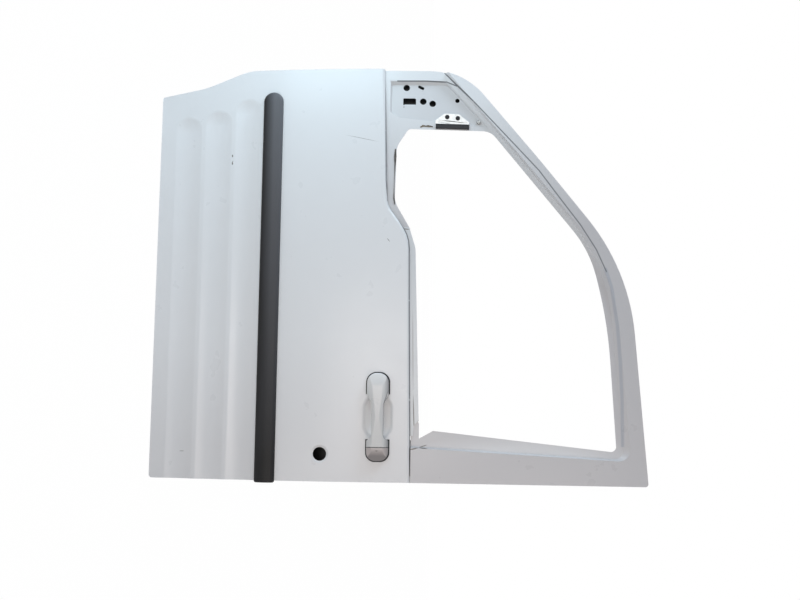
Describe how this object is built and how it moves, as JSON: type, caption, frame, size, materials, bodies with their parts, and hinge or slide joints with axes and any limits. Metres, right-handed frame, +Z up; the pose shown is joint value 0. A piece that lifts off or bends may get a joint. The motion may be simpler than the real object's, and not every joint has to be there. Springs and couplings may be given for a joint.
{
  "type": "van front door",
  "caption": "Bare left front door of a panel van: fluted steel skin, rub strip, pull handle, mirror seat and open window frame.",
  "frame": {"origin": "on the flat outer face of the hinge wall, midway between the two hinges and at their bolts' middle depth", "axes": "+Z up along the door, +X from the hinges to the latch edge, -Y out through the outer skin"},
  "size_m": [1.127, 0.1615, 1.3307],
  "materials": {
    "white_paint": "gloss white paint on pressed steel",
    "white_handle": "painted moulding",
    "black_moulding": "fine-grained moulding",
    "black_rubber": "matt",
    "zinc": "zinc plated"
  },
  "bodies": {
    "door": {"outer_skin": "white_paint", "rub_strip": "black_moulding", "window_frame_outer": "white_paint", "window_frame_inner": "white_paint", "sail_panel": "white_paint", "waist_rail_outer": "white_paint", "waist_rail_inner": "white_paint", "mirror_bracket": "zinc", "bracket_pad": "black_rubber", "handle_cap": "white_handle", "handle_gasket_front": "black_rubber", "handle_gasket_rear": "black_rubber", "handle_carrier_front": "black_moulding", "handle_carrier_rear": "black_moulding", "handle_pin": "zinc", "hinge_wall": "white_paint", "sill_wall": "white_paint", "latch_wall": "white_paint", "hinge_plate_upper": "white_paint", "hinge_plate_lower": "white_paint", "latch_plate": "white_paint", "inner_panel": "white_paint", "side_beam": "white_paint", "beam_end_front": "white_paint", "beam_end_rear": "white_paint"},
    "handle": {"handle_grip": "white_handle"}
  },
  "joints": [
    {"name": "handle_pull", "type": "hinge", "parent": "door", "child": "handle", "pos_m": [0.836, -0.04587, 0.14494], "axis": [0, -0.1043, -0.9945], "range_deg": [0, 14], "stiffness_Nm_per_rad": 2}
  ]
}
